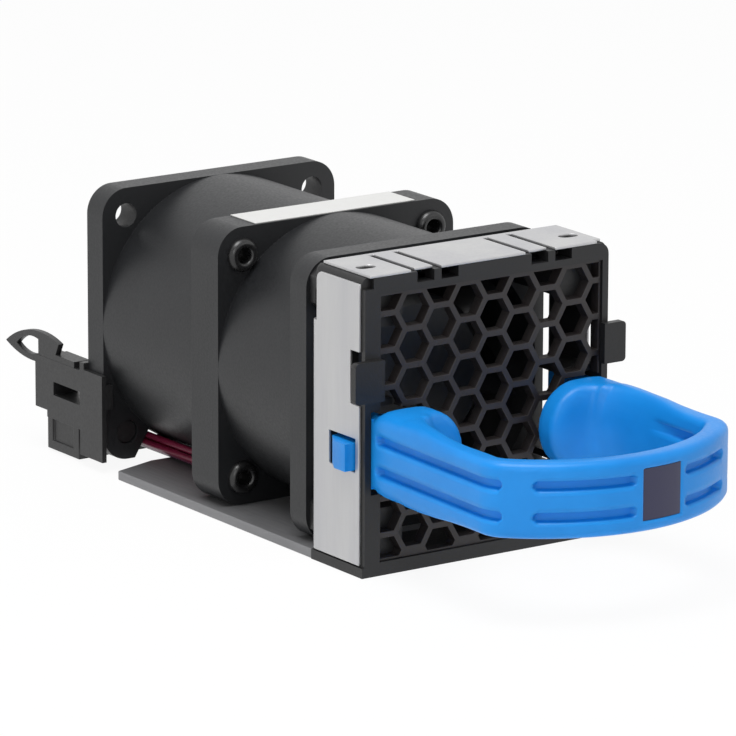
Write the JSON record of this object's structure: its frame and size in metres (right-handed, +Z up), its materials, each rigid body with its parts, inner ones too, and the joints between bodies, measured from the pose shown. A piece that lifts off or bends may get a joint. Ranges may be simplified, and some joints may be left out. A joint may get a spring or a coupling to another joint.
{
  "type": "server fan module",
  "caption": "Hot-swap server fan module: axial fans in a row behind a honeycomb bezel, with a tray, a squeeze-release loop handle and a rear plug.",
  "frame": {"origin": "on the underside, under the middle of the bezel's front face", "axes": "+X right as seen from the front, +Y from the front face to the back along the airflow, +Z up"},
  "size_m": [0.0452, 0.1294, 0.042],
  "materials": {
    "black_plastic": "fine satin mould texture",
    "grey_housing": "satin",
    "plated_steel": "bright plated sheet",
    "blue_plastic": "satin gloss",
    "dark_badge": "satin",
    "steel": "ground",
    "lamination": "stacked sheet",
    "magnet_compound": "matt",
    "brass_tube": "turned",
    "copper_wire": "enamelled",
    "board_laminate": "solder mask",
    "wire_sleeve": "satin",
    "contact_metal": "plated",
    "paper_label": "smooth film"
  },
  "bodies": {
    "chassis": {"badge": "dark_badge", "bezel": "black_plastic", "connector_carrier": "black_plastic", "connector_housing": "grey_housing", "contacts": "contact_metal", "front_bearing_outer_rings": "steel", "front_bearing_tube": "brass_tube", "front_circuit_board": "board_laminate", "front_frame": "black_plastic", "front_leads": "wire_sleeve", "front_screws": "steel", "front_stator_core": "lamination", "front_windings": "copper_wire", "handle_bow": "blue_plastic", "honeycomb_grille": "black_plastic", "joint_label": "paper_label", "joint_rivets": "black_plastic", "rear_bearing_outer_rings": "steel", "rear_bearing_tube": "brass_tube", "rear_circuit_board": "board_laminate", "rear_frame": "black_plastic", "rear_leads": "wire_sleeve", "rear_stator_core": "lamination", "rear_windings": "copper_wire", "side_plate_left": "plated_steel", "side_plate_right": "plated_steel", "top_plate": "plated_steel"},
    "front_rotor": {"front_impeller": "black_plastic", "front_yoke": "steel", "front_magnet": "magnet_compound", "front_shaft": "steel", "front_bearing_inner_rings": "steel", "front_preload_washer": "steel", "front_retaining_clip": "steel"},
    "rear_rotor": {"rear_impeller": "black_plastic", "rear_yoke": "steel", "rear_magnet": "magnet_compound", "rear_shaft": "steel", "rear_bearing_inner_rings": "steel", "rear_preload_washer": "steel", "rear_retaining_clip": "steel"},
    "left_arm": {"arm_left": "blue_plastic"},
    "right_arm": {"arm_right": "blue_plastic"}
  },
  "joints": [
    {"name": "front_fan_spin", "type": "hinge", "parent": "chassis", "child": "front_rotor", "pos_m": [0, 0.0268, 0.0214], "axis": [0, 1, 0], "continuous": true},
    {"name": "rear_fan_spin", "type": "hinge", "parent": "chassis", "child": "rear_rotor", "pos_m": [0, 0.0548, 0.0214], "axis": [0, -1, 0], "continuous": true},
    {"name": "right_arm_flex", "type": "hinge", "parent": "chassis", "child": "right_arm", "pos_m": [0.0161, -0.0295, 0.0173], "axis": [0, 0, 1], "range_deg": [0, 3], "stiffness_Nm_per_rad": 0.3},
    {"name": "left_arm_flex", "type": "hinge", "parent": "chassis", "child": "left_arm", "pos_m": [-0.0161, -0.0295, 0.0173], "axis": [0, 0, -1], "range_deg": [0, 3], "stiffness_Nm_per_rad": 0.3}
  ],
  "couplings": [
    {"joint": "left_arm_flex", "follows": "right_arm_flex", "ratio": 1}
  ]
}
